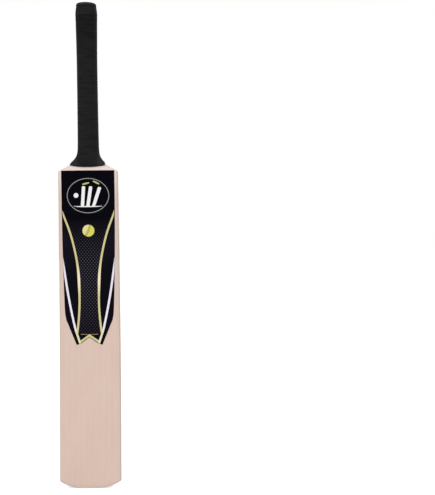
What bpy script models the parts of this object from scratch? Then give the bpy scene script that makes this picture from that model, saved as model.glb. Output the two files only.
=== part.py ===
"""A junior cricket bat, built up as it is put together on a bench.

The blade is one piece of pale timber with a V cut down into it from the shoulders.  The handle is
glued up from canes in three slabs with two rubber springs between the slabs, and its foot is a long
wedge that fills the V.  Twine binds the handle, a rubber sleeve is rolled over the twine and
stretched over the shoulders, and a vinyl label is stuck to the striking face.

The frame: +Z runs up the bat from the toe, -Y points out of the striking face, and +X is to the
right of someone who looks at that face.  The origin is the middle of the flat on the toe.
Lengths are in metres.
"""

import math

import bmesh
import bpy
from mathutils import Vector

# The gap that pieces which touch on the real bat keep between their solids.
SEAT_GAP = 0.0003

# The blade seen from the front.
BLADE_LENGTH = 0.4798  # toe to the corners of the shoulders
TOE_WIDTH = 0.0924
SHOULDER_WIDTH = 0.0898
BLADE_BELLY = 0.0004  # each side is this much fuller halfway up
TOE_FLAT_WIDTH = 0.022
TOE_DROP = 0.0105  # the toe's corners stand this far above its flat
CORNER_RADIUS = 0.003  # where the sides turn into the shoulders
SHOULDER_RISE = 0.035  # corners of the shoulders to where they run out into the handle
SHOULDER_FULLNESS = 2.25  # exponent of the shoulder's curve: 2 is a quarter ellipse
SHOULDER_SLOPE = 0.8  # and exponent of its foot: 0.5 leaves the corner level, more is steeper

# The blade seen from the side.
FACE_BOW = 0.0065  # the middle of the face is set back this far from its two ends
FACE_CROWN = 0.0012  # the middle line of the face stands proud of its edges
FACE_EDGE_RADIUS = 0.002
BACK_EDGE_RADIUS = 0.003
TOE_DEPTH = 0.020
SWELL_DEPTH = 0.036
SWELL_HEIGHT = 0.165  # the thickest place, above the toe
NECK_DEPTH = 0.0285
NECK_DROP = 0.078  # the neck lies this far below the shoulders
TOE_EDGE_DEPTH = 0.0115
SWELL_EDGE_DEPTH = 0.0155
SHOULDER_EDGE_DEPTH = 0.0125
RIDGE_ROUNDING = 0.18  # share of the half width over which the spine's ridge is rounded
FLANK_HOLLOW = 1.3  # exponent of the back's flanks: 1 is flat, more is hollower

# The handle, whose foot is the wedge of the splice.
HANDLE_LENGTH = 0.249  # corners of the shoulders to the sawn end of the canes
HANDLE_WIDTH = 0.0262
HANDLE_DEPTH = 0.027
HANDLE_WAIST = 0.0005  # the shaft is this much slimmer each side at its waist
WAIST_BELOW_END = 0.085
HANDLE_SWELL = 0.0002  # and this much fuller each side near its end
SWELL_BELOW_END = 0.020
HANDLE_NOSE = 0.0007  # and slimmer again at its end
SPLICE_DEPTH = 0.092  # tip of the wedge below the corners of the shoulders
SPLICE_TIP_WIDTH = 0.0024
LEDGE_DROP = 0.004  # the blade's timber stops this far short of the end of the shoulder's curve
FEATHER = 0.001  # thickness of the blade's timber beside the wedge, where it stops
CANES_PER_SLAB = 4
SPRING_THICKNESS = 0.0014

# The twine and the rubber sleeve over it.
TWINE_THICKNESS = 0.0009
TWINE_REACH = 0.0065  # the twine goes this far below the end of the shoulder's curve
TWINE_SHORT_OF_END = 0.003
GRIP_WALL = 0.0015
GRIP_LIP = 0.0012  # the sleeve stands above the sawn end of the canes
GRIP_SIDE_HEIGHT = 0.0108  # lower edge above the corners of the shoulders, at the sides
GRIP_FRONT_HEIGHT = 0.0043  # and in the middle of the front and back
GRIP_RIM_REACH = 0.030  # the lower edge's shape fades out over this length
GRIP_EASE = 0.010  # length over which the sleeve climbs from the timber onto the twine
COLLAR_LENGTH = 0.017  # plain band at the sleeve's upper end
COLLAR_PROUD = 0.0006  # where the band starts
COLLAR_STEP = 0.003  # length over which the sleeve swells into the band
COLLAR_TAPER = 0.0009  # and it draws in by this much up to its end
BEAD_LENGTH = 0.0048  # rolled edge at the very top, above a crease
BEAD_ROUNDING = 0.0011
CREASE_WIDTH = 0.0012
CREASE_DEPTH = 0.00045

# The label.
LABEL_THICKNESS = 0.0004
LABEL_TOP_MARGIN = 0.0003  # below the corners of the shoulders
LABEL_SIDE_MARGIN = 0.0047
LABEL_TAPER = 0.0031  # how much each side draws in down to the haunch
LABEL_TAPER_FULLNESS = 2.6  # exponent of that: 1 is straight, more keeps the width for longer
LABEL_SIDE_LENGTH = 0.2115
LABEL_SIDE_STEPS = 7
HAUNCH_LENGTH = 0.0145  # where each side turns in towards its tip
HAUNCH_IN = 0.0021
LABEL_TIP_HALF_WIDTH = 0.0194
LABEL_TIP_WIDTH = 0.0074
LABEL_TIP_LENGTH = 0.038  # tips below the haunch
TIP_SLOPE = 0.003
NOTCH_RISE = 0.0119  # apex of the fishtail above the tips

# How finely the curved surfaces are laid out.
HALF_POINTS = 18  # steps round half a section, from the face's middle to the ridge
BLADE_STATIONS = 24
SHOULDER_STATIONS = 9
SHAFT_STATIONS = 12
TOE_ARC_STEPS = 9
PROBE = 0.0002  # distance over which a surface's slope is measured

# Heights and half sizes that follow from the sizes above.
RUN_OUT = BLADE_LENGTH + SHOULDER_RISE  # end of the shoulder's curve
HANDLE_END = BLADE_LENGTH + HANDLE_LENGTH
LEDGE = RUN_OUT - LEDGE_DROP
SPLICE_TIP = BLADE_LENGTH - SPLICE_DEPTH
MID_BLADE = BLADE_LENGTH / 2
HANDLE_LEAN = math.atan(2 * FACE_BOW / MID_BLADE)  # the handle carries on along the bow's tangent
AROUND = 2 * HALF_POINTS
FAR = 0.1  # reach of cutters past the bat's sides


def smooth(share):
    """Ease from 0 to 1 with level ends."""
    share = min(1.0, max(0.0, share))
    return share * share * (3 - 2 * share)


def through(stations, at):
    """Smooth curve through (place, value) pairs, level beyond its first and last."""
    if at <= stations[0][0]:
        return stations[0][1]
    for k in range(len(stations) - 1):
        (start, low), (end, high) = stations[k], stations[k + 1]
        if at > end:
            continue
        before = stations[max(k - 1, 0)]
        after = stations[min(k + 2, len(stations) - 1)]
        leaving = (high - before[1]) / (end - before[0])
        arriving = (after[1] - low) / (after[0] - start)
        span = end - start
        t = (at - start) / span
        return (
            low * (1 + 2 * t) * (1 - t) ** 2
            + high * t * t * (3 - 2 * t)
            + span * leaving * t * (1 - t) ** 2
            + span * arriving * t * t * (t - 1)
        )
    return stations[-1][1]


def shaft_half_width(height):
    """Half the width of the bare handle above the shoulders."""
    half = HANDLE_WIDTH / 2
    return through(
        [
            (RUN_OUT, half),
            (HANDLE_END - WAIST_BELOW_END, half - HANDLE_WAIST),
            (HANDLE_END - SWELL_BELOW_END, half + HANDLE_SWELL),
            (HANDLE_END, half - HANDLE_NOSE),
        ],
        height,
    )


def half_width(height):
    """Half the width of the bare bat at a height, from the toe's corners to the handle's end."""
    up = height / BLADE_LENGTH
    full = (TOE_WIDTH + (SHOULDER_WIDTH - TOE_WIDTH) * up) / 2 + 4 * BLADE_BELLY * up * (1 - up)
    corner = BLADE_LENGTH - CORNER_RADIUS
    if height <= corner:
        return full
    if height <= BLADE_LENGTH:
        return full - CORNER_RADIUS + math.sqrt(max(0, CORNER_RADIUS**2 - (height - corner) ** 2))
    if height >= RUN_OUT:
        return shaft_half_width(height)
    side = SHOULDER_WIDTH / 2
    down = (RUN_OUT - height) / SHOULDER_RISE
    inward = (1 - down**SHOULDER_FULLNESS) ** SHOULDER_SLOPE
    return min(side - CORNER_RADIUS, side - (side - HANDLE_WIDTH / 2) * inward)


def face_line(height):
    """Y of the face's middle line: bowed along the blade, then straight on along the handle."""
    start = -TOE_DEPTH / 2
    if height > BLADE_LENGTH:
        return start - (height - BLADE_LENGTH) * math.tan(HANDLE_LEAN)
    return start + FACE_BOW * (1 - ((height - MID_BLADE) / MID_BLADE) ** 2)


def face_y(x, height):
    """Y of the crowned striking face."""
    return face_line(height) + FACE_CROWN * (x / half_width(height)) ** 2


def spine_depth(height):
    """Depth from the face's middle line to the ridge of the spine."""
    return through(
        [
            (0, TOE_DEPTH),
            (SWELL_HEIGHT, SWELL_DEPTH),
            (BLADE_LENGTH - NECK_DROP, NECK_DEPTH),
            (BLADE_LENGTH, HANDLE_DEPTH),
        ],
        height,
    )


def edge_depth(height):
    """Thickness of the blade's edges."""
    return through(
        [
            (0, TOE_EDGE_DEPTH),
            (SWELL_HEIGHT, SWELL_EDGE_DEPTH),
            (BLADE_LENGTH - NECK_DROP, SHOULDER_EDGE_DEPTH),
        ],
        height,
    )


def flank(share):
    """Height of the back between edge and ridge: 1 on the ridge, 0 at the edge, hollow between."""
    reach = math.hypot(1, RIDGE_ROUNDING) - RIDGE_ROUNDING
    away = (math.hypot(share, RIDGE_ROUNDING) - RIDGE_ROUNDING) / reach
    return (1 - away) ** FLANK_HOLLOW


def blade_point(step, height):
    """(x, y) on the right half of a section through the blade, step 0 on the face's middle line."""
    half = half_width(height)
    front = face_line(height)
    edge_front = front + FACE_CROWN
    edge_back = edge_front + edge_depth(height)
    if step <= 4:
        x = (half - FACE_EDGE_RADIUS) * step / 4
        return x, face_y(x, height)
    if step <= 7:
        turn = math.radians(30 * (step - 4))
        return (
            half - FACE_EDGE_RADIUS * (1 - math.sin(turn)),
            edge_front + FACE_EDGE_RADIUS * (1 - math.cos(turn)),
        )
    if step <= 11:
        turn = math.radians(30 * (step - 8))
        return (
            half - BACK_EDGE_RADIUS * (1 - math.cos(turn)),
            edge_back - BACK_EDGE_RADIUS * (1 - math.sin(turn)),
        )
    share = (1 - (step - 11) / (HALF_POINTS - 11)) ** 1.15
    ridge = front + spine_depth(height)
    return share * (half - BACK_EDGE_RADIUS), edge_back + (ridge - edge_back) * flank(share)


def handle_point(step, height):
    """(x, y) on the right half of a section through the oval handle."""
    turn = math.pi * (step / HALF_POINTS - 0.5)
    middle = face_line(height) + HANDLE_DEPTH / 2
    return half_width(height) * math.cos(turn), middle + HANDLE_DEPTH / 2 * math.sin(turn)


def bat_point(index, height):
    """A point on the skin of the bare bat, counted round from the face's middle line by the right."""
    index %= AROUND
    step = min(index, AROUND - index)
    side = 1 if index <= HALF_POINTS else -1
    blade_x, blade_y = blade_point(step, height)
    oval_x, oval_y = handle_point(step, height)
    to_oval = smooth((height - BLADE_LENGTH) / SHOULDER_RISE)
    x = blade_x + (oval_x - blade_x) * to_oval
    y = blade_y + (oval_y - blade_y) * to_oval
    return Vector((side * x, y, height))


def lifted_point(index, height, lift):
    """A point on the skin of the bare bat, lifted along the skin's normal."""
    up = bat_point(index, height + PROBE) - bat_point(index, height - PROBE)
    onward = bat_point(index + 1, height) - bat_point(index - 1, height)
    return bat_point(index, height) + onward.cross(up).normalized() * lift


def new_collection(name):
    """An empty collection in the scene."""
    collection = bpy.data.collections.new(name)
    bpy.context.scene.collection.children.link(collection)
    return collection


def new_object(name, shape, collection):
    """An object from a bmesh, which is freed."""
    mesh = bpy.data.meshes.new(name)
    shape.to_mesh(mesh)
    shape.free()
    made = bpy.data.objects.new(name, mesh)
    collection.objects.link(made)
    return made


def loft(name, rings, collection, closed=False):
    """A solid through rings of matching points, capped at its ends or closed from last to first."""
    shape = bmesh.new()
    rows = [[shape.verts.new(point) for point in ring] for ring in rings]
    following = rows[1:] + rows[:1] if closed else rows[1:]
    for lower, upper in zip(rows, following):
        for i in range(len(lower)):
            j = (i + 1) % len(lower)
            shape.faces.new((lower[i], lower[j], upper[j], upper[i]))
    if not closed:
        shape.faces.new(rows[0][::-1])
        shape.faces.new(rows[-1])
    return new_object(name, shape, collection)


def evaluated_mesh(source):
    """A new mesh of an object with its modifiers, its doubled points welded."""
    bpy.context.view_layer.update()
    evaluated = source.evaluated_get(bpy.context.evaluated_depsgraph_get())
    mesh = bpy.data.meshes.new_from_object(evaluated)
    shape = bmesh.new()
    shape.from_mesh(mesh)
    bmesh.ops.remove_doubles(shape, verts=shape.verts, dist=0.00001)
    shape.to_mesh(mesh)
    shape.free()
    return mesh


def prism(name, outline, collection):
    """A cutter with an outline in the XZ plane, drawn as a flat curve and run right through the bat."""
    curve = bpy.data.curves.new(name, "CURVE")
    curve.dimensions = "2D"
    curve.fill_mode = "BOTH"
    curve.extrude = FAR
    spline = curve.splines.new("POLY")
    spline.points.add(len(outline) - 1)
    for point, (x, z) in zip(spline.points, outline):
        point.co = (x, z, 0, 1)
    spline.use_cyclic_u = True
    sketch = bpy.data.objects.new(name + "_sketch", curve)
    collection.objects.link(sketch)
    sketch.rotation_euler.x = math.radians(90)
    solid = bpy.data.objects.new(name, evaluated_mesh(sketch))
    solid.matrix_world = sketch.matrix_world.copy()
    collection.objects.link(solid)
    bpy.data.objects.remove(sketch)
    return as_guide(solid)


def box(name, low, high, parent, collection):
    """A cutter with corners low and high in the frame of its parent."""
    shape = bmesh.new()
    bmesh.ops.create_cube(shape, size=1)
    size = Vector(high) - Vector(low)
    bmesh.ops.scale(shape, vec=size, verts=shape.verts)
    bmesh.ops.translate(shape, vec=(Vector(low) + Vector(high)) / 2, verts=shape.verts)
    solid = new_object(name, shape, collection)
    solid.parent = parent
    return as_guide(solid)


def as_guide(solid):
    """Marks a cutter, which isn't a piece of the bat."""
    solid.hide_render = True
    solid.display_type = "WIRE"
    return solid


def carve(solid, operation, cutter):
    """Adds a Boolean with a cutter: DIFFERENCE takes it away, INTERSECT keeps what lies in it."""
    step = solid.modifiers.new(cutter.name, "BOOLEAN")
    step.operation = operation
    step.object = cutter
    return solid


def finish(solid, material, crease=30):
    """Gives a piece its material and smooth shading, sharp across the angle given in degrees."""
    solid.data.materials.clear()
    solid.data.materials.append(material)
    solid.data.shade_smooth()
    solid.data.set_sharp_from_angle(angle=math.radians(crease))
    return solid


def make_material(name, colour, roughness, metallic=0.0):
    """A Principled material."""
    material = bpy.data.materials.new(name)
    material.use_nodes = True
    shader = material.node_tree.nodes["Principled BSDF"]
    shader.inputs["Base Color"].default_value = (*colour, 1)
    shader.inputs["Roughness"].default_value = roughness
    shader.inputs["Metallic"].default_value = metallic
    return material


def bat_heights():
    """Heights of the rings that the bare bat is lofted through, closer where it curves."""
    corner = BLADE_LENGTH - CORNER_RADIUS
    below_toe = -TOE_DROP
    blade = [below_toe + (corner - below_toe) * k / BLADE_STATIONS for k in range(BLADE_STATIONS + 1)]
    rounded = [corner + CORNER_RADIUS * math.sin(math.radians(turn)) for turn in (30, 60, 90)]
    shoulder = []
    for k in range(2, SHOULDER_STATIONS + 1):
        turn = math.pi / 2 * k / SHOULDER_STATIONS
        shoulder.append(RUN_OUT - SHOULDER_RISE * abs(math.cos(turn)) ** (2 / SHOULDER_FULLNESS))
    shaft = [RUN_OUT + (HANDLE_END - RUN_OUT) * k / SHAFT_STATIONS for k in range(1, SHAFT_STATIONS + 1)]
    return blade + rounded + shoulder + shaft


def toe_outline():
    """Outline of all that lies above the toe: its flat, an arc up to each corner, and open sides."""
    flat = TOE_FLAT_WIDTH / 2
    run = half_width(TOE_DROP) - flat
    radius = (run**2 + TOE_DROP**2) / (2 * TOE_DROP)
    sweep = math.asin(run / radius)
    right = []
    for k in range(TOE_ARC_STEPS + 1):
        turn = sweep * k / TOE_ARC_STEPS
        right.append((flat + radius * math.sin(turn), radius * (1 - math.cos(turn))))
    slope = math.tan(sweep)
    right.append((FAR, TOE_DROP + slope * (FAR - half_width(TOE_DROP))))
    right.append((FAR, HANDLE_END + FAR))
    return right + [(-x, z) for x, z in reversed(right)]


def splice_outline(grow=0.0):
    """Outline of the handle's share of the bat: the wedge of the splice and all above its ledge."""
    wedge = half_width(LEDGE) - FEATHER
    tip = SPLICE_TIP_WIDTH / 2
    grow_x = grow / math.cos(math.atan2(wedge - tip, LEDGE - SPLICE_TIP))
    right = [
        (tip + grow_x, SPLICE_TIP - grow),
        (wedge + grow_x, LEDGE - grow),
        (FAR, LEDGE - grow),
        (FAR, HANDLE_END + FAR),
    ]
    return right + [(-x, z) for x, z in reversed(right)]


def label_outline():
    """Outline of the label: square top, sides that draw in to a haunch, and a fishtail foot."""
    top = BLADE_LENGTH - LABEL_TOP_MARGIN
    haunch = top - LABEL_SIDE_LENGTH
    turn_in = haunch - HAUNCH_LENGTH
    tips = turn_in - LABEL_TIP_LENGTH
    side = SHOULDER_WIDTH / 2 - LABEL_SIDE_MARGIN
    right = []
    for k in range(LABEL_SIDE_STEPS + 1):
        down = k / LABEL_SIDE_STEPS
        right.append((side - LABEL_TAPER * down**LABEL_TAPER_FULLNESS, top - LABEL_SIDE_LENGTH * down))
    right += [
        (side - LABEL_TAPER - HAUNCH_IN / 3, haunch - HAUNCH_LENGTH / 2),
        (side - LABEL_TAPER - HAUNCH_IN, turn_in),
        (LABEL_TIP_HALF_WIDTH, tips),
        (LABEL_TIP_HALF_WIDTH - LABEL_TIP_WIDTH, tips + TIP_SLOPE),
    ]
    return right + [(0, tips + NOTCH_RISE)] + [(-x, z) for x, z in reversed(right)]


def grip_inner_lift(height):
    """How far the sleeve's inside stands off the bare bat: onto the timber low down, then the twine."""
    over_twine = TWINE_THICKNESS + SEAT_GAP
    start = RUN_OUT - TWINE_REACH - GRIP_EASE
    return SEAT_GAP + over_twine * smooth((height - start) / GRIP_EASE)


def build_blade(stock, toe, slot, material, collection):
    """The blade: one piece of timber with an arched toe and the V slot of the splice."""
    blade = bpy.data.objects.new("blade", stock.data.copy())
    collection.objects.link(blade)
    carve(blade, "DIFFERENCE", slot)
    carve(blade, "INTERSECT", toe)
    return finish(blade, material)


def build_handle(stock, wedge, cane, rubber, collection, cutters):
    """The canes in three slabs, and the two springs between them, all cut from one blank."""
    blank = bpy.data.objects.new("handle_blank", stock.data)
    cutters.objects.link(blank)
    carve(blank, "INTERSECT", wedge)
    blank_mesh = evaluated_mesh(blank)
    bpy.data.objects.remove(blank)

    axis = bpy.data.objects.new("handle_axis", None)
    axis.location = (0, face_line(BLADE_LENGTH) + HANDLE_DEPTH / 2, BLADE_LENGTH)
    axis.rotation_euler.x = HANDLE_LEAN
    collection.objects.link(axis)

    slab = (HANDLE_DEPTH - 2 * SPRING_THICKNESS - 4 * SEAT_GAP) / 3
    spring_front = slab / 2 + SEAT_GAP
    outer_slab = spring_front + SPRING_THICKNESS + SEAT_GAP
    slabs = {"front": (-FAR, -outer_slab), "middle": (-slab / 2, slab / 2), "rear": (outer_slab, FAR)}
    springs = {"front": -spring_front - SPRING_THICKNESS, "rear": spring_front}
    lane = HANDLE_WIDTH / CANES_PER_SLAB
    foot, head = -SPLICE_DEPTH - FAR, HANDLE_LENGTH + FAR

    def cut_piece(name, low, high, material):
        piece = bpy.data.objects.new(name, blank_mesh.copy())
        collection.objects.link(piece)
        carve(piece, "INTERSECT", box(name + "_cutter", low, high, axis, cutters))
        return finish(piece, material)

    for place, (front, back) in slabs.items():
        for k in range(CANES_PER_SLAB):
            left = -FAR if k == 0 else lane * (k - CANES_PER_SLAB / 2) + SEAT_GAP / 2
            right = FAR if k == CANES_PER_SLAB - 1 else lane * (k + 1 - CANES_PER_SLAB / 2) - SEAT_GAP / 2
            cut_piece(f"cane_{place}_{k + 1}", (left, front, foot), (right, back, head), cane)
    for place, front in springs.items():
        back = front + SPRING_THICKNESS
        cut_piece(f"rubber_spring_{place}", (-FAR, front, foot), (FAR, back, head), rubber)


def sleeve_ring(height, inner_lift, thickness, rim):
    """A ring of a sleeve over the bare bat; a rim tilts the rings near the sleeve's lower end."""
    ring = []
    for index in range(AROUND):
        at = height + rim(index, height)
        ring.append(lifted_point(index, at, inner_lift(at) + thickness))
    return ring


def build_twine(material, collection):
    """The twine wound round the handle, as the thin sleeve that its turns make."""
    foot = RUN_OUT - TWINE_REACH
    heights = [foot] + [z for z in bat_heights() if foot + 0.001 < z < HANDLE_END - 0.001]
    heights.append(HANDLE_END - TWINE_SHORT_OF_END)

    def ring(height, thickness):
        return sleeve_ring(height, lambda at: SEAT_GAP, thickness, lambda index, at: 0)

    outside = [ring(height, TWINE_THICKNESS) for height in heights]
    inside = [ring(height, 0) for height in reversed(heights)]
    return finish(loft("twine_binding", outside + inside, collection, closed=True), material)


def build_grip(material, collection):
    """The rubber sleeve: flared over the shoulders, with a plain band and a bead at its upper end."""
    top = HANDLE_END + GRIP_LIP
    bead, collar = top - BEAD_LENGTH, top - COLLAR_LENGTH
    middle = BLADE_LENGTH + (GRIP_FRONT_HEIGHT + GRIP_SIDE_HEIGHT) / 2
    shoulder = [z for z in bat_heights() if middle + 0.001 < z < collar - 0.004]

    def banded(height, sunk=0):
        drawn_in = COLLAR_TAPER * (height - collar) / COLLAR_LENGTH
        return height, COLLAR_PROUD - drawn_in - sunk

    band = [
        (collar - COLLAR_STEP, 0),
        banded(collar),
        banded(bead - CREASE_WIDTH / 2),
        banded(bead, CREASE_DEPTH),
        banded(bead + CREASE_WIDTH / 2),
        banded(top - BEAD_ROUNDING),
        banded(top - BEAD_ROUNDING / 3, BEAD_ROUNDING / 3),
        banded(top, BEAD_ROUNDING * 0.8),
    ]

    def rim(index, height):
        ride_up = (GRIP_SIDE_HEIGHT - GRIP_FRONT_HEIGHT) / 2
        fade = max(0, 1 - (height - middle) / GRIP_RIM_REACH)
        return -ride_up * math.cos(2 * math.pi * index / HALF_POINTS) * fade

    outer = [(middle, 0)] + [(height, 0) for height in shoulder] + band
    outside = [sleeve_ring(z, grip_inner_lift, GRIP_WALL + proud, rim) for z, proud in outer]
    inner = [top, bead, collar] + shoulder[::-1] + [middle]
    inside = [sleeve_ring(z, grip_inner_lift, 0, rim) for z in inner]
    return finish(loft("grip", outside + inside, collection, closed=True), material)


def build_label(outline, material, collection):
    """The vinyl label, bent to the bow and crown of the face."""
    top = BLADE_LENGTH
    columns = 10
    reach = SHOULDER_WIDTH / 2 - FACE_EDGE_RADIUS
    rings = []
    for height in [z for z in bat_heights() if 0 < z <= top]:
        across = [reach * (2 * k / columns - 1) for k in range(columns + 1)]
        back = [Vector((x, face_y(x, height) - SEAT_GAP, height)) for x in across]
        front = [point - Vector((0, LABEL_THICKNESS, 0)) for point in back]
        rings.append(front + back[::-1])
    label = loft("face_label", rings, collection)
    carve(label, "INTERSECT", outline)
    return finish(label, material)


def main():
    """Builds the bat in an emptied scene."""
    for old in list(bpy.data.objects):
        bpy.data.objects.remove(old)
    bat = new_collection("cricket_bat")
    cutters = new_collection("cutters")

    timber = make_material("pale_willow", (0.69, 0.52, 0.44), 0.5)
    cane = make_material("rattan_cane", (0.67, 0.50, 0.38), 0.55)
    rubber = make_material("spring_rubber", (0.05, 0.045, 0.04), 0.8)
    twine = make_material("waxed_twine", (0.60, 0.52, 0.38), 0.8)
    sleeve = make_material("black_rubber", (0.016, 0.016, 0.017), 0.65)
    vinyl = make_material("black_vinyl", (0.008, 0.007, 0.010), 0.28)

    rings = [[bat_point(index, height) for index in range(AROUND)] for height in bat_heights()]
    stock = as_guide(loft("bat_stock", rings, cutters))
    toe = prism("toe_cutter", toe_outline(), cutters)
    wedge = prism("wedge_cutter", splice_outline(), cutters)
    slot = prism("slot_cutter", splice_outline(SEAT_GAP), cutters)
    label_cutter = prism("label_cutter", label_outline(), cutters)

    build_blade(stock, toe, slot, timber, bat)
    build_handle(stock, wedge, cane, rubber, bat, cutters)
    build_twine(twine, bat)
    build_grip(sleeve, bat)
    build_label(label_cutter, vinyl, bat)


main()
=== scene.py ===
"""Looks of the junior cricket bat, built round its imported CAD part.

The frame is the part's own: +Z runs up the bat from the toe, -Y points out of the striking face and
+X is to the right of someone who looks at that face.  Lengths are in metres and angles in degrees.
A pair called ..._over is the range over which a finish goes from nothing to its full strength.
"""

import math

import bpy
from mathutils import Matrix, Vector


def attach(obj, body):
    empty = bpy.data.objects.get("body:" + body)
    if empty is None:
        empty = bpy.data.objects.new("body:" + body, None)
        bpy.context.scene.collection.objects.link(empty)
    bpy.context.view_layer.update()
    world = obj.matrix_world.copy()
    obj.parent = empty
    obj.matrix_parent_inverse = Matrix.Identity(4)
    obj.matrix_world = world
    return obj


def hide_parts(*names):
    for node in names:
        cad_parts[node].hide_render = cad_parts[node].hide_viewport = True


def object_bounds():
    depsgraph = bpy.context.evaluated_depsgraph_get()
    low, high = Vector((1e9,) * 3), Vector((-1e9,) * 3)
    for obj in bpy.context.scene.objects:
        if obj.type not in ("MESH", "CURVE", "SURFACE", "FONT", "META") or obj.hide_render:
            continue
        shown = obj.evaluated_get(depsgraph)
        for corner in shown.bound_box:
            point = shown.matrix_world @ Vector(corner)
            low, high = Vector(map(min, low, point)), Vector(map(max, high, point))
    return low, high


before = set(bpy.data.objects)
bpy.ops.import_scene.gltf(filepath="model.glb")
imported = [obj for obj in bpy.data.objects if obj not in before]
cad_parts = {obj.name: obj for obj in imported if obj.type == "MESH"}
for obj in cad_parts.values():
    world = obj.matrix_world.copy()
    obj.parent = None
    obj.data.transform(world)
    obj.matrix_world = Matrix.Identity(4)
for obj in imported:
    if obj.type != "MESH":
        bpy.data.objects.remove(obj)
cad_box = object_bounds()


# The blade: one billet of pale timber, sawn and spokeshaved to shape, its arched toe rounded over with a
# rasp, all of it sanded and given a thin satin varnish.  Its shoulders are painted paler than the rest,
# a painted light where they slope up to the sleeve, and the arrises of its face and of its toe are
# darkened with painted shade where they turn away from the light.
toe_round = 0.0013
toe_rim_top = 0.0120
toe_flat = 0.0110
toe_rise = 8.37
toe_rim_shade_over = (0.0042, 0.0010)
shoulders_painted_light_over = (0.4350, 0.4780)
end_grain_over = (0.55, 0.98)
arris_begins_over, arris_ends_over = (0.16, 0.48), (0.99, 0.90)
facing_front_over = (-0.03, -0.10)
year_rings = {"Scale": 34, "Distortion": 9.0, "Detail Scale": 0.35}
timber_roughness = (0.44, 0.58)
fully = (0, 1)
timber_light = (0.708, 0.545, 0.469, 1)
timber_dark = (0.621, 0.457, 0.380, 1)
timber_end = (0.520, 0.370, 0.290, 1)
timber_painted_shade = (0.560, 0.490, 0.435, 1)
timber_painted_light = (0.860, 0.745, 0.690, 1)
weld_distance = 0.000002
flat_angle, skew_angle = 20, 60
rim_angle = 40
smooth_angle = 35


def start_on(piece):
    """Leaves one piece selected and active, in object mode."""
    if bpy.context.mode != "OBJECT":
        bpy.ops.object.mode_set(mode="OBJECT")
    bpy.ops.object.select_all(action="DESELECT")
    piece.select_set(True)
    bpy.context.view_layer.objects.active = piece


def copy_of_node(node, name):
    """A piece with the shape of a CAD node, its loose triangles welded and joined into quads."""
    piece = bpy.data.objects.new(name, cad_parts[node].data.copy())
    piece.data.name = name
    piece.data.materials.clear()
    bpy.context.scene.collection.objects.link(piece)
    start_on(piece)
    bpy.ops.mesh.customdata_custom_splitnormals_clear()
    bpy.ops.object.mode_set(mode="EDIT")
    bpy.ops.mesh.select_all(action="SELECT")
    bpy.ops.mesh.remove_doubles(threshold=weld_distance)
    bpy.ops.mesh.tris_convert_to_quads(
        face_threshold=math.radians(flat_angle), shape_threshold=math.radians(skew_angle)
    )
    bpy.ops.object.mode_set(mode="OBJECT")
    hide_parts(node)
    return piece


def select_none(piece, kind):
    """Leaves a piece in object mode with nothing on it selected, ready for edges or faces."""
    start_on(piece)
    bpy.ops.object.mode_set(mode="EDIT")
    bpy.ops.mesh.select_mode(type=kind)
    bpy.ops.mesh.select_all(action="DESELECT")
    bpy.ops.object.mode_set(mode="OBJECT")


def select_edges(piece, wanted):
    """Leaves in edit mode, with those edges selected for which wanted(start, end, edge) is true."""
    select_none(piece, "EDGE")
    points = piece.data.vertices
    for edge in piece.data.edges:
        edge.select = wanted(points[edge.vertices[0]].co, points[edge.vertices[1]].co, edge)
    bpy.ops.object.mode_set(mode="EDIT")


def sharp_edges(piece, degrees):
    """Indices of the edges whose two faces meet at more than an angle."""
    across = {}
    for face in piece.data.polygons:
        for key in face.edge_keys:
            across.setdefault(key, []).append(face.normal)
    limit = math.cos(math.radians(degrees))
    return {
        edge.index
        for edge in piece.data.edges
        if len(across[edge.key]) == 2 and across[edge.key][0].dot(across[edge.key][1]) < limit
    }


def smooth_over(piece, degrees=smooth_angle):
    """Smooth shading, sharp across an angle."""
    start_on(piece)
    bpy.ops.object.shade_smooth_by_angle(angle=math.radians(degrees))


def fix_on(piece, material):
    """Gives a piece its material and fixes it to the bat."""
    piece.data.materials.clear()
    piece.data.materials.append(material)
    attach(piece, "root")


def new_material(name, roughness, specular):
    """A material, its node tree and its shader."""
    material = bpy.data.materials.new(name)
    material.use_nodes = True
    shader = material.node_tree.nodes["Principled BSDF"]
    shader.inputs["Roughness"].default_value = roughness
    shader.inputs["Specular IOR Level"].default_value = specular
    return material, material.node_tree, shader


def add_node(tree, kind, inputs=None, **settings):
    """A shader node: an input that is given a socket is linked to it, any other takes the value."""
    node = tree.nodes.new("ShaderNode" + kind)
    for field, value in settings.items():
        setattr(node, field, value)
    for socket, value in (inputs or {}).items():
        if isinstance(value, bpy.types.NodeSocket):
            tree.links.new(value, node.inputs[socket])
        else:
            node.inputs[socket].default_value = value
    return node


def maths(tree, operation, first, second=0):
    """The result of one sum on two values, or on the first alone."""
    return add_node(tree, "Math", {0: first, 1: second}, operation=operation).outputs[0]


def on_bat(tree):
    """Where a point lies on the bat."""
    return add_node(tree, "TexCoord").outputs["Object"]


def split(tree, vector):
    """The X, Y and Z of a vector."""
    return add_node(tree, "SeparateXYZ", {0: vector}).outputs


def laid_out(tree, cycles, turn=(0, 0, 0), centre=(0, 0, 0)):
    """Places on the bat, stretched so that a pattern repeats about that often per metre each way."""
    inputs = {"Vector": on_bat(tree), "Location": centre, "Rotation": turn, "Scale": cycles}
    return add_node(tree, "Mapping", inputs).outputs["Vector"]


def grain(tree, cycles, detail):
    """A noise value, about 0.5 on average."""
    inputs = {"Vector": laid_out(tree, cycles), "Scale": 1, "Detail": detail, "Roughness": 0.5}
    return add_node(tree, "TexNoise", inputs).outputs["Fac"]


def spread(tree, value, low, high, to_low=0.0, to_high=1.0):
    """A value stretched from one range to another, and held inside it."""
    inputs = {"Value": value, "From Min": low, "From Max": high, "To Min": to_low, "To Max": to_high}
    return add_node(tree, "MapRange", inputs).outputs["Result"]


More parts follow.
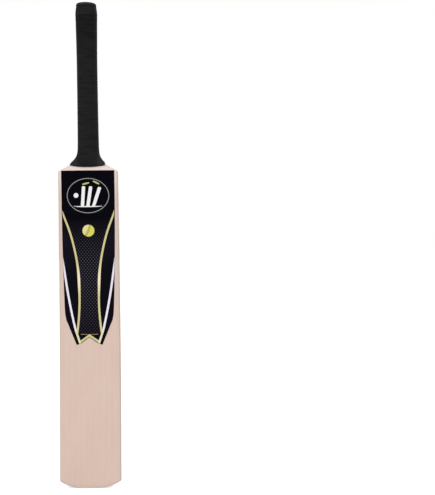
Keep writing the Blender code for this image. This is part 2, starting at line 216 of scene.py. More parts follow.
def mixed(tree, share, first, second, blend_type="MIX"):
    """Two colours, mixed by the second one's share."""
    inputs = {0: share, 6: first, 7: second}
    return add_node(tree, "Mix", inputs, data_type="RGBA", blend_type=blend_type).outputs[2]


def layered(tree, ground, layers):
    """A ground colour under layers, each a value, its range, the layer's share over it, and a colour."""
    colour = ground
    for value, reach, shares, tint in layers:
        colour = mixed(tree, spread(tree, value, *reach, *shares), colour, tint)
    return colour


def finish(tree, shader, colour, roughness=None):
    """Links a shader to its colour, and to its roughness where that varies."""
    tree.links.new(colour, shader.inputs["Base Color"])
    if roughness is not None:
        tree.links.new(roughness, shader.inputs["Roughness"])


def relief(tree, shader, height, depth):
    """Puts a bump of a real depth on a shader."""
    bump = add_node(tree, "Bump", {"Height": height, "Strength": 1.0, "Distance": depth})
    tree.links.new(bump.outputs["Normal"], shader.inputs["Normal"])


timber, tree, shader = new_material("varnished_timber", roughness=0.5, specular=0.22)
place = split(tree, on_bat(tree))
facing = split(tree, add_node(tree, "NewGeometry").outputs["Normal"])
figure = {"Vector": laid_out(tree, (1, 0.3, 0.045)), **year_rings}
rings = add_node(tree, "TexWave", figure, bands_direction="X").outputs["Fac"]
fibres = grain(tree, (1500, 1500, 26), detail=2)
streaks = grain(tree, (260, 260, 5), detail=2)
clouds = grain(tree, (48, 48, 17), detail=2)
pores = grain(tree, (2100, 2100, 150), detail=1)
sawn_across = maths(tree, "ABSOLUTE", facing["Z"])
sideways = maths(tree, "ABSOLUTE", facing["X"])
# Painted shade: the arrises beside the face and the rounded rim of the toe are darkened where they turn
# away from the light.
arris_shade_mask = maths(
    tree, "MULTIPLY", spread(tree, sideways, *arris_begins_over), spread(tree, sideways, *arris_ends_over)
)
arris_shade_mask = maths(tree, "MULTIPLY", arris_shade_mask, spread(tree, facing["Y"], *facing_front_over))
# The toe's outline rises beside its flat as the square of the distance.
aside = maths(tree, "SUBTRACT", maths(tree, "ABSOLUTE", place["X"]), toe_flat)
aside = maths(tree, "MAXIMUM", aside, 0)
arch = maths(tree, "MULTIPLY", maths(tree, "MULTIPLY", aside, aside), toe_rise)
above_toe = maths(tree, "SUBTRACT", place["Z"], arch)
painted_edge_shade = maths(tree, "MAXIMUM", arris_shade_mask, spread(tree, above_toe, *toe_rim_shade_over))
colour = layered(
    tree,
    timber_light,
    (
        (rings, (0.15, 1), (0.20, 0.34), timber_dark),
        (streaks, (0.35, 0.7), (0, 0.24), timber_dark),
        (clouds, (0.35, 0.65), (0, 0.55), timber_light),
        (fibres, (0.45, 0.75), (0, 0.30), timber_dark),
        (pores, (0.70, 0.76), (0, 0.45), timber_end),
        (sawn_across, end_grain_over, (0, 0.55), timber_end),
        # Painted light: the shoulders are made paler where they slope up to the sleeve.
        (place["Z"], shoulders_painted_light_over, (0, 0.7), timber_painted_light),
        (painted_edge_shade, fully, (0, 0.75), timber_painted_shade),
    ),
)
finish(tree, shader, colour, spread(tree, fibres, 0.3, 0.7, *timber_roughness))
relief(tree, shader, fibres, depth=0.00003)

blade = copy_of_node("blade", "blade_timber")
rims = sharp_edges(blade, rim_angle)
select_edges(blade, lambda start, end, edge: edge.index in rims and max(start.z, end.z) < toe_rim_top)
bpy.ops.mesh.bevel(offset=toe_round, segments=3, clamp_overlap=True)
smooth_over(blade)
fix_on(blade, timber)


# The handle: twelve square rattan canes in three slabs, glued, turned to an oval and tapered at the foot
# to the wedge that fills the V in the blade.  Where they show below the sleeve, the front ones are sanded
# as pale as the blade.  Their sawn ends show down inside the sleeve.
cad_gap = 0.0003
cane_joint = 0.00012
wedge_joints = {"front": 0.00006, "middle": 0, "rear": 0.00006}
square_on = 0.9995
wedge_side, wedge_underside = 0.9, -0.05
cane_pitch = 0.00655
slab_seed = 10.5
cane_light = (0.710, 0.540, 0.430, 1)
cane_dark = (0.420, 0.280, 0.170, 1)
cane_pale = (0.888, 0.784, 0.739, 1)
cane_pale_over = (0.600, 0.520)
pale_shares = {"front": 0.7, "middle": 0, "rear": 0}


def select_faces(piece, wanted):
    """Leaves in edit mode, with those faces selected for which wanted(face) is true."""
    select_none(piece, "FACE")
    for face in piece.data.polygons:
        face.select = wanted(face)
    bpy.ops.object.mode_set(mode="EDIT")


def sawn_rattan(slab, seed):
    """Rattan with its long dark vessels, each cane of a slab in a tone of its own."""
    material, tree, shader = new_material(f"sawn_rattan_{slab}", roughness=0.6, specular=0.3)
    place = split(tree, on_bat(tree))
    vessels = {"Vector": laid_out(tree, (1700, 1700, 12)), "Scale": 1, "Randomness": 0.9}
    holes = add_node(tree, "TexVoronoi", vessels).outputs["Distance"]
    threads = grain(tree, (900, 900, 16), detail=2)
    cane_number = maths(tree, "FLOOR", maths(tree, "MULTIPLY", place["X"], 1 / cane_pitch))
    cane_seed = {"W": maths(tree, "ADD", cane_number, seed)}
    tone = add_node(tree, "TexWhiteNoise", cane_seed, noise_dimensions="1D").outputs["Value"]
    colour = layered(
        tree,
        cane_light,
        (
            (tone, (0, 1), (0, 0.35), cane_dark),
            (threads, (0.35, 0.7), (0, 0.25), cane_dark),
            (holes, (0.14, 0.24), (0.85, 0), cane_dark),
            (place["Z"], cane_pale_over, (0, pale_shares[slab]), cane_pale),
        ),
    )
    finish(tree, shader, colour)
    relief(tree, shader, spread(tree, holes, 0.12, 0.24), depth=0.0001)
    return material


for number, slab in enumerate(("front", "middle", "rear")):
    cane = sawn_rattan(slab, slab_seed * number)
    for row in range(1, 5):
        piece = copy_of_node(f"cane_{slab}_{row}", f"rattan_cane_{slab}_{row}")
        for side in (-1, 1):
            select_faces(piece, lambda face: face.normal.x * side > square_on)
            bpy.ops.transform.translate(value=(side * (cad_gap - cane_joint) / 2, 0, 0))
            select_faces(
                piece,
                lambda face: face.normal.x * side > wedge_side and face.normal.z < wedge_underside,
            )
            bpy.ops.transform.translate(value=(side * (cad_gap - wedge_joints[slab]), 0, 0))
        smooth_over(piece)
        fix_on(piece, cane)


# The springs: two thin strips of dark sheet rubber, glued between the slabs of cane to take the sting
# out of a hit.  They are cut flush with the canes.
rubber_sheet = (0.030, 0.026, 0.023, 1)
rubber_dust = (0.075, 0.066, 0.056, 1)

sheet_rubber, tree, shader = new_material("sheet_rubber", roughness=0.8, specular=0.3)
fillers = grain(tree, (1800, 1800, 1800), detail=3)
finish(tree, shader, layered(tree, rubber_sheet, ((fillers, (0.4, 0.75), (0, 0.6), rubber_dust),)))
relief(tree, shader, fillers, depth=0.00004)
for spring in ("front", "rear"):
    piece = copy_of_node(f"rubber_spring_{spring}", f"spring_strip_{spring}")
    smooth_over(piece)
    fix_on(piece, sheet_rubber)


# The binding: waxed thread wound tightly from the shoulders to the top of the handle over glue, which
# holds the canes together.  The sleeve covers all of it.
thread_pitch = 0.0009
wave_at_scale_1 = math.pi / 10
thread_light = (0.640, 0.560, 0.420, 1)
thread_dark = (0.300, 0.240, 0.160, 1)

thread, tree, shader = new_material("waxed_thread", roughness=0.7, specular=0.3)
turns = {"Vector": laid_out(tree, (1, 1, 1)), "Scale": wave_at_scale_1 / thread_pitch}
wound = add_node(tree, "TexWave", turns, bands_direction="Z").outputs["Fac"]
plies = grain(tree, (2200, 2200, 2200), detail=2)
colour = layered(
    tree,
    thread_dark,
    ((wound, (0, 0.7), fully, thread_light), (plies, (0.4, 0.75), (0, 0.35), thread_dark)),
)
finish(tree, shader, colour)
relief(tree, shader, wound, depth=0.0003)
binding = copy_of_node("twine_binding", "thread_binding")
smooth_over(binding)
fix_on(binding, thread)


# The sleeve: one tube of moulded black rubber, rolled down over the binding and stretched over the
# shoulders, where its corners are painted paler as painted light.  It has a plain band with a rolled edge
# at its top and fine rings all round below, and is dulled to grey on the band and in its lower part.  The
# rolled edge's crown has a painted highlight, and the creases beside it painted shade.
ring_pitch = 0.003775
ring_depths = (0.00038, 0.00026)
ring_half_width = 0.00055
rings_from, rings_to = 0.5310, 0.7060
ring_fade = 0.004
ring_wander, wander_twist = 0.00022, 55
ring_cuts, ring_cuts_from = 20, rings_from - 0.006
crease_cuts, crease_cuts_from, crease_cuts_to = 6, rings_to + 0.003, 0.7290
upright_share = 0.7
axis_measured = 0.03
creases = ((0.7253, 0.00055, 0.00050), (0.7108, 0.00034, 0.00045))
bead_crown = 0.7275
handled_over = (0.700, 0.640)
band_over = (0.7095, 0.7115)
corner_aside_over, corner_height_over = (0.0120, 0.0190), (0.5080, 0.4990)
sleeve_roughness = (0.74, 0.86)
sleeve_smooth_angle = 60
rubber_black = (0.0040, 0.0039, 0.0041, 1)
rubber_grey = (0.0124, 0.0124, 0.0130, 1)
rubber_painted_light = (0.0300, 0.0290, 0.0295, 1)
rubber_shade = (0.0008, 0.0008, 0.0008, 1)
# Painted light on the sleeve: a painted highlight along the crown of the rolled edge, and painted shade in
# its two creases.
painted_light_levels = (
    (bead_crown, (0.0017, 0.0008), rubber_painted_light),
    (creases[0][0], (0.0008, 0.0002), rubber_shade),
    (creases[1][0], (0.0010, 0.0002), rubber_shade),
)


def distance_from(tree, value, level):
    """How far a value is from a level."""
    return maths(tree, "ABSOLUTE", maths(tree, "SUBTRACT", value, level))


black_rubber, tree, shader = new_material("moulded_rubber", roughness=0.8, specular=0.09)
place = split(tree, on_bat(tree))
bloom = grain(tree, (60, 60, 30), detail=3)
pits = grain(tree, (1600, 1600, 1600), detail=2)
smears = grain(tree, (50, 50, 240), detail=2)
worn = spread(tree, place["Z"], *handled_over, 0, 0.5)
for wear in (
    spread(tree, place["Z"], *band_over, 0, 0.75),
    spread(tree, bloom, 0.3, 0.7, 0, 0.35),
    spread(tree, smears, 0.35, 0.65, -0.3, 0.3),
):
    worn = maths(tree, "ADD", worn, wear)
# Painted light: the sleeve's corners over the shoulders, which face up and out, are made paler.
painted_light_on_corners = maths(
    tree,
    "MULTIPLY",
    spread(tree, maths(tree, "ABSOLUTE", place["X"]), *corner_aside_over),
    spread(tree, place["Z"], *corner_height_over),
)
painted_light_marks = [(distance_from(tree, place["Z"], level), over, fully, tint) for level, over, tint in painted_light_levels]
colour = layered(
    tree,
    rubber_black,
    (
        (worn, fully, fully, rubber_grey),
        (pits, (0.5, 0.8), (0, 0.3), rubber_grey),
        (painted_light_on_corners, fully, (0, 0.6), rubber_painted_light),
        *painted_light_marks,
    ),
)
finish(tree, shader, colour, spread(tree, bloom, 0.3, 0.7, *sleeve_roughness))
relief(tree, shader, pits, depth=0.00003)

sleeve = copy_of_node("grip", "rubber_sleeve")
rounding = sleeve.modifiers.new("rounding", "SUBSURF")
rounding.levels = rounding.render_levels = 1
bpy.ops.object.modifier_apply(modifier="rounding")

ends = []
for low, high in ((rings_from, rings_from + axis_measured), (rings_to - axis_measured, rings_to)):
    measured = [point.co for point in sleeve.data.vertices if low < point.co.z < high]
    ends.append(sum(measured, Vector()) / len(measured))
axis_slope = (ends[1].y - ends[0].y) / (ends[1].z - ends[0].z)


def off_axis(spot):
    """From the handle's leaning axis to a spot on the sleeve, level."""
    return Vector((spot.x, spot.y - ends[0].y - axis_slope * (spot.z - ends[0].z), 0))


def cut_outside(low, high, cuts):
    """Cuts the upright edges of the sleeve's outside between two heights, to carry finer forms."""
    outside = {
        key
        for face in sleeve.data.polygons
        if face.normal.dot(off_axis(face.center)) > 0
        for key in face.edge_keys
    }
    select_edges(
        sleeve,
        lambda start, end, edge: edge.key in outside
        and abs(end.z - start.z) > upright_share * (end - start).length
        and low < (start.z + end.z) / 2 < high,
    )
    bpy.ops.mesh.subdivide(number_cuts=cuts, smoothness=0)
    bpy.ops.object.mode_set(mode="OBJECT")


def hump(distance, reach):
    """1 at no distance, and next to nothing at more than twice the reach."""
    return math.exp(-((distance / reach) ** 2))


cut_outside(ring_cuts_from, crease_cuts_from, ring_cuts)
cut_outside(crease_cuts_from, crease_cuts_to, crease_cuts)
moulded = sleeve.vertex_groups.new(name="rings")
for point in sleeve.data.vertices:
    away, height = off_axis(point.co), point.co.z
    if height < rings_from or point.normal.dot(away) < 0:
        continue
    if height > rings_to:
        inward = sum(
            depth / ring_depths[0] * hump(height - level, reach) for level, depth, reach in creases
        )
    else:
        around = math.atan2(away.y, away.x)
        along = height + ring_wander * math.sin(2 * around + wander_twist * height)
        turn, share = divmod((along - rings_from) / ring_pitch, 1)
        depth = ring_depths[int(turn) % 2] / ring_depths[0]
        fade = min(1, (height - rings_from) / ring_fade, (rings_to - height) / ring_fade)
        inward = depth * hump((share - 0.5) * ring_pitch, ring_half_width) * fade
    moulded.add([point.index], inward, "REPLACE")
rings = sleeve.modifiers.new("rings", "DISPLACE")
rings.strength = -ring_depths[0]
rings.mid_level = 0
rings.vertex_group = "rings"
bpy.ops.object.modifier_apply(modifier="rings")
smooth_over(sleeve, sleeve_smooth_angle)
fix_on(sleeve, black_rubber)


# The label: a die-cut sheet of black vinyl with a fishtail foot, stuck to the middle of the face so that
# it follows the bow and the crown.  Below the badge its black turns to a dusky navy, which deepens again
# further down.
label_sunk = 0.00028
film_thinner = 0.00018
facing_out = -0.9
dusk_over, navy_over = (0.425, 0.380), (0.375, 0.325)
vinyl_roughness = (0.28, 0.38)
vinyl_black = (0.0012, 0.0008, 0.0028, 1)
vinyl_dusk = (0.0064, 0.0052, 0.0100, 1)
vinyl_navy = (0.0031, 0.0025, 0.0058, 1)

vinyl, tree, shader = new_material("black_vinyl_film", roughness=0.33, specular=0.022)
height = split(tree, on_bat(tree))["Z"]
mottle = grain(tree, (45, 45, 30), detail=3)
orange_peel = grain(tree, (700, 700, 700), detail=1)
colour = layered(
    tree,
    vinyl_black,
    (
        (height, dusk_over, fully, vinyl_dusk),
        (height, navy_over, fully, vinyl_navy),
        (mottle, (0.4, 0.75), (0, 0.5), vinyl_black),
    ),
)
finish(tree, shader, colour, spread(tree, mottle, 0.3, 0.7, *vinyl_roughness))
relief(tree, shader, orange_peel, depth=0.000008)

label = copy_of_node("face_label", "vinyl_label")
bpy.ops.object.mode_set(mode="EDIT")
bpy.ops.mesh.select_all(action="SELECT")
bpy.ops.transform.translate(value=(0, label_sunk, 0))
select_faces(label, lambda face: face.normal.y < facing_out)
bpy.ops.transform.translate(value=(0, film_thinner, 0))
smooth_over(label)
fix_on(label, vinyl)


# The label's inner panel: a fine grey mesh of staggered dots, screen printed between the two pale
# yellow lines.  It fades into the black towards the badge.
dot_pitch = 0.0045
row_pitch = 0.0027
ink_film = 0.00003
panel_lift = 0.00004
panel_columns = 6
in_front = -0.05
mesh_shows_over, mesh_brightens_over = (0.408, 0.345), (0.232, 0.300)
mesh_light = (0.0800, 0.0730, 0.0980, 1)
mesh_dark = (0.0016, 0.0012, 0.0030, 1)
yellow_middle = (
    (0.2320, 0.0188),
    (0.2355, 0.0184),
    (0.2410, 0.0175),
    (0.2531, 0.0162),
    (0.2651, 0.0152),
    (0.2772, 0.0147),
    (0.2893, 0.0146),
    (0.3013, 0.0150),
    (0.3134, 0.0152),
    (0.3254, 0.0159),
    (0.3375, 0.0173),
    (0.3496, 0.0192),
    (0.3616, 0.0217),
    (0.3737, 0.0245),
    (0.3858, 0.0279),
    (0.3978, 0.0320),
    (0.4099, 0.0369),
    (0.4150, 0.0389),
)


def lay_on_label(printing, ink, lift):
    """Presses a flat printing on to the label's face, gives its ink a thickness and fixes it on."""
    start_on(printing)
    bpy.ops.object.transform_apply(location=True, rotation=True, scale=True)
    pressed = printing.modifiers.new("pressed", "SHRINKWRAP")
    pressed.target = label
    pressed.wrap_method = "PROJECT"
    pressed.use_project_y = True
    pressed.use_negative_direction = False
    pressed.use_positive_direction = True
    pressed.offset = lift
    film = printing.modifiers.new("film", "SOLIDIFY")
    film.thickness = ink_film
    film.offset = -1
    for step in ("pressed", "film"):
        bpy.ops.object.modifier_apply(modifier=step)
    smooth_over(printing)
    fix_on(printing, ink)


def printed_strip(name, ink, sides, lift, columns=1, flowing=True):
    """A strip of ink: a grid whose rows are moved to pairs of (x, z) points, then laid on the label.

    A flowing strip is curved between its rows, any other is straight.
    """
    bpy.ops.object.select_all(action="DESELECT")
    bpy.ops.mesh.primitive_grid_add(x_subdivisions=columns, y_subdivisions=len(sides) - 1, size=1)
    strip = bpy.context.object
    strip.name = strip.data.name = name
    for number, point in enumerate(strip.data.vertices):
        row, column = divmod(number, columns + 1)
        (start_x, start_z), (end_x, end_z) = sides[row]
        across = column / columns
        x, z = start_x + (end_x - start_x) * across, start_z + (end_z - start_z) * across
        point.co = (x, in_front, z)
    curve = strip.modifiers.new("curve", "SUBSURF")
    curve.subdivision_type = "CATMULL_CLARK" if flowing else "SIMPLE"
    curve.boundary_smooth = "PRESERVE_CORNERS"
    curve.levels = curve.render_levels = 2
    bpy.ops.object.modifier_apply(modifier="curve")
    lay_on_label(strip, ink, lift)


mesh_ink, tree, shader = new_material("grey_mesh_ink", roughness=0.45, specular=0.022)
place = split(tree, on_bat(tree))
waves = [
    maths(tree, "COSINE", maths(tree, "MULTIPLY", place[axis], 2 * math.pi / period))
    for axis, period in (("X", dot_pitch), ("Z", 2 * row_pitch))
]
dots = maths(tree, "MULTIPLY", *waves)
shown = maths(
    tree,
    "MULTIPLY",
    spread(tree, place["Z"], *mesh_shows_over),
    spread(tree, place["Z"], *mesh_brightens_over, 0.45, 1),
)
net = mixed(tree, spread(tree, dots, 0.05, 0.95), mesh_dark, mesh_light)
finish(tree, shader, mixed(tree, shown, vinyl_black, net))
panel = [((-half, z), (half, z)) for z, half in yellow_middle]
printed_strip("mesh_panel", mesh_ink, panel, panel_lift, columns=panel_columns)


# The piping: a pale yellow line down each side of the panel, with a painted cream highlight where it is
# widest, and a white line that starts on the label's edge lower down and runs out to its tips.  A yellow
# chevron follows the notch, and a thin border line ends the panel above it.
ink_lift = 0.00008
ink_gloss = {"roughness": 0.4, "specular": 0.12}
ink_roughness = (0.35, 0.48)
ink_dulled = (0.86, 0.86, 0.84, 1)
ink_yellow = (0.640, 0.585, 0.270, 1)
ink_painted_highlight = (0.900, 0.760, 0.530, 1)
ink_white = (0.850, 0.800, 0.895, 1)
ink_ivory = (0.780, 0.740, 0.490, 1)
ink_ochre = (0.130, 0.110, 0.020, 1)
ink_border = (0.480, 0.330, 0.190, 1)
label_edge = 0.0391
yellow_width = 0.0031
yellow_swell = 0.0010
yellow_swell_height = 0.315
yellow_swell_reach = 0.016
yellow_end_height, yellow_end_width = 0.4195, 0.0002
painted_highlight_over = (0.026, 0.006)
ivory_over = (0.233, 0.243)
white_foot = ((0.0126, 0.2188), (0.0158, 0.2175))
white_sides = (
    (0.2230, 0.0143, 0.0175),
    (0.2290, 0.0163, 0.0195),
    (0.2350, 0.0184, 0.0216),
    (0.2410, 0.0201, 0.0233),
    (0.2531, 0.0228, 0.0260),
    (0.2651, 0.0253, 0.0285),
    (0.2772, 0.0276, 0.0308),
    (0.2893, 0.0298, 0.0330),
    (0.3013, 0.0318, 0.0350),
    (0.3134, 0.0336, 0.0368),
    (0.3254, 0.0353, 0.0383),
    (0.3315, 0.0362, 0.0386),
    (0.3375, 0.0372, 0.0388),
    (0.3435, 0.0382, 0.0389),
    (0.3480, 0.0388, 0.0390),
)
notch_foot, notch_top, notch_half = 0.2190, 0.2278, 0.0124
notch_stations = (-1, -0.5, 0, 0.5, 1)
dark_from, dark_to, dark_out = 0.0001, 0.0006, 0.0003
chevron_width, chevron_out = 0.0036, 0.0020
chevron_end_slope = 0.72
border_height, border_half, border_width = 0.2316, 0.0130, 0.0008
border_lift = 0.00007
border_middle_share = 0.45
line_stations = [step / 4 - 1 for step in range(9)]


def printing_ink(name, upper, lower=None, over=None, glow=None):
    """A printing ink with a fine speckle.  It may turn to a lower colour, and carry a painted highlight
    about a height.
    """
    material, tree, shader = new_material(name, **ink_gloss)
    height = split(tree, on_bat(tree))["Z"]
    speckle = grain(tree, (1500, 1500, 1500), detail=1)
    colour = mixed(tree, spread(tree, height, *over), lower, upper) if lower else upper
    dulled = mixed(tree, 1.0, colour, ink_dulled, blend_type="MULTIPLY")
    colour = mixed(tree, spread(tree, speckle, 0.45, 0.75, 0, 0.6), colour, dulled)
    if glow:
        level, reach, tint = glow
        colour = mixed(tree, spread(tree, distance_from(tree, height, level), *reach), colour, tint)
    finish(tree, shader, colour, spread(tree, speckle, 0.3, 0.7, *ink_roughness))
    return material


def mirrored(sides):
    """A strip's pairs of points, moved to the other side of the bat's middle."""
    return [((-end_x, end_z), (-start_x, start_z)) for (start_x, start_z), (end_x, end_z) in sides]


# The yellow ink carries a painted cream highlight about the height where its line is widest.
yellow_ink = printing_ink("pale_yellow_ink", ink_yellow, glow=(yellow_swell_height, painted_highlight_over, ink_painted_highlight))
white_ink = printing_ink("white_ink", ink_white, ink_ivory, ivory_over)
ochre_ink = printing_ink("ochre_ink", ink_ochre)
border_ink = printing_ink("border_ink", ink_border)

yellow_line = []
for z, middle in yellow_middle:
    half = (yellow_width + yellow_swell * hump(z - yellow_swell_height, yellow_swell_reach)) / 2
    yellow_line.append(((middle - half, z), (min(middle + half, label_edge), z)))
yellow_line.append(((label_edge - yellow_end_width, yellow_end_height), (label_edge, yellow_end_height)))
white_line = [white_foot] + [((inner_x, z), (outer_x, z)) for z, inner_x, outer_x in white_sides]
for side, placed in (("left", mirrored), ("right", list)):
    printed_strip(f"yellow_line_{side}", yellow_ink, placed(yellow_line), ink_lift)
    printed_strip(f"white_line_{side}", white_ink, placed(white_line), ink_lift + ink_film)
for name, low, high, out, ink in (
    ("yellow_chevron", dark_to, dark_to + chevron_width, chevron_out, yellow_ink),
    ("dark_chevron", dark_from, dark_to, dark_out, ochre_ink),
):
    chevron = []
    for share in notch_stations:
        x = share * notch_half
        z = notch_top + (notch_foot - notch_top) * abs(share)
        beyond = max(abs(share) * 2 - 1, 0) * out * share
        chevron.append(((x + beyond, z + high - abs(beyond) * chevron_end_slope), (x, z + low)))
    printed_strip(name, ink, chevron, ink_lift, flowing=False)
border = []
for share in line_stations:
    x = border_half * share
    thick = border_width * (border_middle_share + (1 - border_middle_share) * abs(share))
    border.append(((x, border_height + thick / 2), (x, border_height - thick / 2)))
printed_strip("panel_border", border_ink, border, border_lift)


# The badge: a thin grey oval high on the label, with a plain picture inside it.  Three bars lean over a
# ground line, with a small disc beside them, and two short bars fly off above.  It is printed in grey and
# white ink, and the short bars in green.
badge_height = 0.4415
badge_half_width, badge_half_height = 0.0320, 0.0265
badge_line = 0.0011
ground_height = 0.4258
ground_half, ground_width = 0.0215, 0.0016
ground_taper = 0.75
stump_length, stump_half = 0.0300, 0.0025
stump_turning = ((0.0012, 1), (0.0003, 0.88), (0, 0.6))
stumps = ((-0.0085, 4), (-0.0003, 9), (0.0082, 19))
bail_length, bail_half = 0.0105, 0.0012
bail_turning = (
    (0, 0.55),
    (0.06, 0.8),
    (0.18, 0.8),
    (0.26, 1),
    (0.74, 1),
    (0.82, 0.8),
    (0.94, 0.8),
    (1, 0.55),
)
bails = ((-0.0032, 0.4597, 14), (0.0125, 0.4612, -26))
thrown_place, thrown_radius = (-0.0180, 0.4420), 0.0036
oval_corners = 72
core_share = 0.7
ink_grey = (0.300, 0.300, 0.290, 1)
ink_bright = (0.880, 0.880, 0.880, 1)
ink_green = (0.420, 0.520, 0.160, 1)
green_over = (0.44, 0.47)


def printed_oval(name, ink, centre, half_size, rings, ring_width=None):
    """A printed oval: a disc with rings inside it, or just its outer ring where that width is given."""
    bpy.ops.object.select_all(action="DESELECT")
    bpy.ops.mesh.primitive_circle_add(
        vertices=oval_corners,
        radius=1,
        fill_type="NGON",
        location=(centre[0], in_front, centre[1]),
        rotation=(math.radians(90), 0, 0),
    )
    oval = bpy.context.object
    oval.name = oval.data.name = name
    oval.scale = (half_size[0], half_size[1], 1)
    bpy.ops.object.transform_apply(location=True, rotation=True, scale=True)
    bpy.ops.object.mode_set(mode="EDIT")
    bpy.ops.mesh.select_all(action="SELECT")
    for _ in range(rings):
        bpy.ops.mesh.inset(thickness=ring_width or min(half_size) / (rings + core_share))
    if ring_width:
        bpy.ops.mesh.delete(type="FACE")
    bpy.ops.object.mode_set(mode="OBJECT")
    lay_on_label(oval, ink, ink_lift)


def turned_bar(foot, degrees, stations):
    """Pairs of points for a bar that leans clockwise from upright, from (height, half width) stations."""
    lean = math.radians(degrees)
    sides = []
    for height, half in stations:
        x, z = foot[0] + height * math.sin(lean), foot[1] + height * math.cos(lean)
        aside, down = half * math.cos(lean), half * math.sin(lean)
        sides.append(((x - aside, z + down), (x + aside, z - down)))
    return sides


grey_ink = printing_ink("badge_grey_ink", ink_grey)
bright_ink = printing_ink("badge_white_ink", ink_bright)
green_ink = printing_ink("badge_green_ink", ink_green, ink_yellow, green_over)

badge_half_size = (badge_half_width, badge_half_height)
printed_oval("badge_oval", grey_ink, (0, badge_height), badge_half_size, 1, badge_line)
ground = []
for share in line_stations:
    thick = ground_width * (1 - ground_taper * abs(share) ** 3)
    ground.append(((ground_half * share, ground_height), (ground_half * share, ground_height - thick)))
printed_strip("badge_ground", bright_ink, ground, ink_lift)
printed_oval("badge_ball", bright_ink, thrown_place, (thrown_radius, thrown_radius), 2)

stump = [(0, stump_half), (stump_length / 2, stump_half)]
stump += [(stump_length - below, share * stump_half) for below, share in stump_turning]
for number, (x, lean) in enumerate(stumps, 1):
    bar = turned_bar((x, ground_height), lean, stump)
    bar[0] = tuple((end_x, ground_height) for end_x, _ in bar[0])
    printed_strip(f"badge_stump_{number}", bright_ink, bar, ink_lift, flowing=False)
bail = [(bail_length * (share - 0.5), thick * bail_half) for share, thick in bail_turning]
for number, (x, z, tilt) in enumerate(bails, 1):
    bar = turned_bar((x, z), 90 - tilt, bail)
    printed_strip(f"badge_bail_{number}", green_ink, bar, ink_lift, flowing=False)


# The yellow disc: printed below the badge, paler on its left, and crossed by one leaning seam, which is
# two rows of stitches either side of a fine line.
ball_height = 0.3886
ball_radius = 0.0090
seam_lean = math.radians(-24)
seam_bow = 14
seam_line = 0.00022
stitch_row = 0.00125
stitch_half = 0.00042
stitch_pitch = 0.00165
ball_pale_over = (0.004, -0.008)
ball_yellow = (0.680, 0.640, 0.105, 1)
ball_pale = (0.760, 0.720, 0.330, 1)
seam_black = (0.004, 0.004, 0.003, 1)

ball_ink, tree, shader = new_material("ball_yellow_ink", **ink_gloss)
to_ball = (-ball_height * math.sin(seam_lean), 0, -ball_height * math.cos(seam_lean))
on_ball = split(tree, laid_out(tree, (1, 1, 1), turn=(0, seam_lean, 0), centre=to_ball))
across, along = on_ball["X"], on_ball["Z"]
bowed = maths(tree, "MULTIPLY", maths(tree, "MULTIPLY", along, along), seam_bow)
from_seam = maths(tree, "ABSOLUTE", maths(tree, "ADD", across, bowed))
from_row = distance_from(tree, from_seam, stitch_row)
stitches = maths(tree, "COSINE", maths(tree, "MULTIPLY", along, 2 * math.pi / stitch_pitch))
stitched = maths(
    tree,
    "MULTIPLY",
    spread(tree, from_row, 1.2 * stitch_half, 0.8 * stitch_half),
    spread(tree, stitches, -0.25, 0.25),
)
line = spread(tree, from_seam, 1.3 * seam_line, 0.7 * seam_line)
speckle = grain(tree, (1500, 1500, 1500), detail=1)
colour = layered(
    tree,
    ball_yellow,
    (
        (across, ball_pale_over, fully, ball_pale),
        (maths(tree, "MAXIMUM", stitched, line), fully, fully, seam_black),
        (speckle, (0.5, 0.8), (0, 0.08), seam_black),
    ),
)
finish(tree, shader, colour, spread(tree, speckle, 0.3, 0.7, *ink_roughness))
printed_oval("printed_ball", ball_ink, (0, ball_height), (ball_radius, ball_radius), 4)


# The floor: a wide sheet of white card that the toe stands on.  It shines faintly wherever it is seen
# directly, so that it and the white room behind it make one white ground, and it keeps the bat's shadow.
floor_size = 60
floor_white = (0.85, 0.85, 0.85, 1)
floor_glow = 0.50


def seen_directly(tree):
    """1 for the rays that show the background: camera, glossy and transmission rays."""
    path = add_node(tree, "LightPath").outputs
    total = path["Is Camera Ray"]
    for kind in ("Is Glossy Ray", "Is Transmission Ray"):
        total = maths(tree, "MAXIMUM", total, path[kind])
    return total


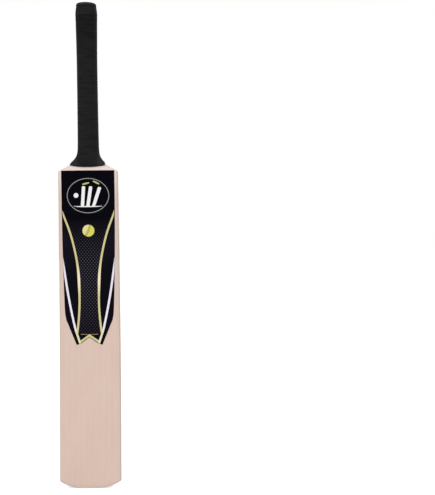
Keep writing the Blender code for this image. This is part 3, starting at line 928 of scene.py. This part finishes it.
bpy.ops.object.select_all(action="DESELECT")
bpy.ops.mesh.primitive_plane_add(size=floor_size)
floor = bpy.context.object
floor.name = "floor"
card = bpy.data.materials.new("white_card")
card.use_nodes = True
tree = card.node_tree
tree.nodes.remove(tree.nodes["Principled BSDF"])
lit = add_node(tree, "BsdfDiffuse", {"Color": floor_white}).outputs[0]
glow = maths(tree, "MULTIPLY", seen_directly(tree), floor_glow)
glowing = add_node(tree, "Emission", {"Strength": glow}).outputs[0]
shown = add_node(tree, "AddShader", {0: lit, 1: glowing}).outputs[0]
tree.links.new(shown, tree.nodes["Material Output"].inputs["Surface"])
floor.data.materials.append(card)


# The studio: an even white room, and soft light from three broad lamps, at the front left, at the front
# right and behind.  Each lamp has its azimuth, its elevation and its power.
room_light = 0.41
lamp_breadth = math.radians(60)
lamps = {
    "front_left": (-24, 38, 1.00),
    "front_right": (26, 32, 0.74),
    "back": (172, 40, 1.12),
}

world = bpy.data.worlds.new("white_room")
bpy.context.scene.world = world
world.use_nodes = True
tree = world.node_tree
background = tree.nodes["Background"]
background.inputs["Color"].default_value = (1, 1, 1, 1)
strength = spread(tree, seen_directly(tree), 0, 1, room_light, 1.0)
tree.links.new(strength, background.inputs["Strength"])
for name, (azimuth, elevation, power) in lamps.items():
    lamp = bpy.data.lights.new(name, "SUN")
    lamp.energy = power
    lamp.angle = lamp_breadth
    holder = bpy.data.objects.new(name, lamp)
    holder.rotation_euler = (math.radians(90 - elevation), 0, math.radians(azimuth))
    bpy.context.scene.collection.objects.link(holder)


# The camera: level with the middle of the picture and to the right of the bat, which stands near the
# picture's left edge, and rolled half a degree.
picture_width, picture_height = 435, 495
metres_per_px = 0.0015186
camera_distance = 1.5
camera_roll = math.radians(0.5)
bat_middle_px = (89.1, 246.25)

right = Vector((math.cos(camera_roll), 0, -math.sin(camera_roll)))
up = Vector((math.sin(camera_roll), 0, math.cos(camera_roll)))
bat_middle = Vector((0, 0, cad_box[1][2] / 2))
aside = (bat_middle_px[0] - picture_width / 2) * metres_per_px
above = (picture_height / 2 - bat_middle_px[1]) * metres_per_px
lens = bpy.data.cameras.new("camera")
lens.sensor_fit = "AUTO"
lens.angle = 2 * math.atan(picture_height * metres_per_px / 2 / camera_distance)
camera = bpy.data.objects.new("camera", lens)
camera.location = bat_middle - Vector((0, camera_distance, 0)) - aside * right - above * up
camera.rotation_euler = (math.radians(90), camera_roll, 0)
bpy.context.scene.collection.objects.link(camera)
bpy.context.scene.camera = camera
bpy.context.scene.view_settings.view_transform = "Standard"
